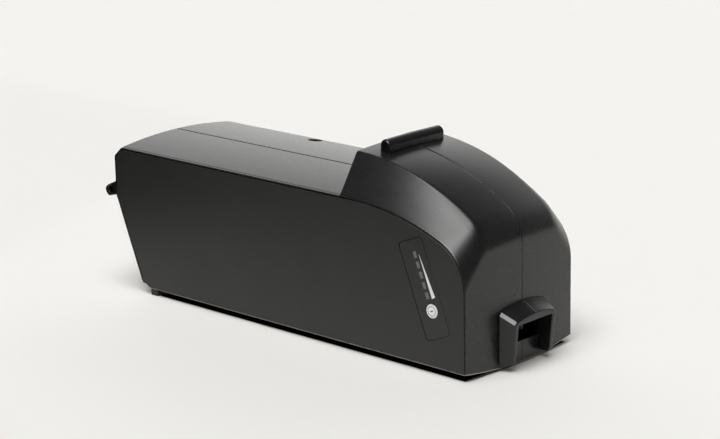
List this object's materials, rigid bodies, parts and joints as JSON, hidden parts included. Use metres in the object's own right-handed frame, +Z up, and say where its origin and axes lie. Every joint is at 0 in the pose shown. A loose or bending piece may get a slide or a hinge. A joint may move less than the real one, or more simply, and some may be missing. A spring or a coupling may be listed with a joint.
{
  "type": "electric bicycle battery pack",
  "caption": "Long slide-on battery pack with crowned top and base, raised nose with a hook bar, plug socket in a hooded shroud, rear loops and a charge indicator with a push button.",
  "frame": {"origin": "on the ground plane, under the centre of the whole pack's outline", "axes": "+X along the pack towards its raised nose and socket; +Y across, away from the side with the charge indicator; +Z up"},
  "size_m": [0.2982, 0.09, 0.1173],
  "materials": {
    "shell_plastic": "satin moulded ABS with fine spark grain, near black with a warm cast",
    "panel_plastic": "satin moulded ABS with fine grain, slightly darker and browner than the shells",
    "bar_plastic": "smooth semi-gloss black nylon",
    "label_film": "satin polyester overlay film with a printed white wedge and ring, no lettering",
    "button_plastic": "smooth off-white plastic",
    "light_window": "diffusing grey light guide",
    "rubber": "matte black rubber or foam",
    "cell_wrap": "shrink sleeve over a steel cell can",
    "holder_plastic": "plain black ABS",
    "nickel": "bright rolled nickel",
    "board_resin": "glass-epoxy sheet, satin",
    "steel": "dull metal",
    "fuse_body": "amber moulded plastic",
    "red_wire": "silicone wire sleeve"
  },
  "bodies": {
    "pack": {"base_pad": "rubber", "bms_board": "board_resin", "bms_heatsink": "steel", "bottom_strip_1": "nickel", "bottom_strip_2": "nickel", "bottom_strip_3": "nickel", "bottom_strip_4": "nickel", "bottom_strip_5": "nickel", "bottom_strip_6": "nickel", "cell_row_01": "cell_wrap", "cell_row_02": "cell_wrap", "cell_row_03": "cell_wrap", "cell_row_04": "cell_wrap", "cell_row_05": "cell_wrap", "cell_row_06": "cell_wrap", "cell_row_07": "cell_wrap", "cell_row_08": "cell_wrap", "cell_row_09": "cell_wrap", "cell_row_10": "cell_wrap", "fuse": "fuse_body", "glide_strip_left": "rubber", "glide_strip_right": "rubber", "hook_bar": "bar_plastic", "indicator_board": "board_resin", "indicator_overlay": "label_film", "left_shell": "shell_plastic", "left_side_panel": "panel_plastic", "light_window_1": "light_window", "light_window_2": "light_window", "light_window_3": "light_window", "light_window_4": "light_window", "light_window_5": "light_window", "lower_cell_holder": "holder_plastic", "lower_insulator": "board_resin", "negative_contact": "nickel", "negative_lead": "rubber", "panel_screw_1": "steel", "panel_screw_2": "steel", "panel_screw_3": "steel", "panel_screw_4": "steel", "positive_contact": "nickel", "positive_lead": "red_wire", "rear_foot_left": "rubber", "rear_foot_right": "rubber", "rear_lug_left": "bar_plastic", "rear_lug_right": "bar_plastic", "right_shell": "shell_plastic", "right_side_panel": "panel_plastic", "socket_block": "holder_plastic", "socket_shroud": "shell_plastic", "tact_switch": "holder_plastic", "top_pad": "rubber", "top_strip_1": "nickel", "top_strip_2": "nickel", "top_strip_3": "nickel", "top_strip_4": "nickel", "top_strip_5": "nickel", "upper_cell_holder": "holder_plastic", "upper_insulator": "board_resin"},
    "button": {"push_button": "button_plastic"}
  },
  "joints": [
    {"name": "button_press", "type": "slide", "parent": "pack", "child": "button", "axis": [0, 1, 0], "range_m": [0, 0.0006], "stiffness_N_per_m": 1500, "springref_m": -0.0005}
  ]
}
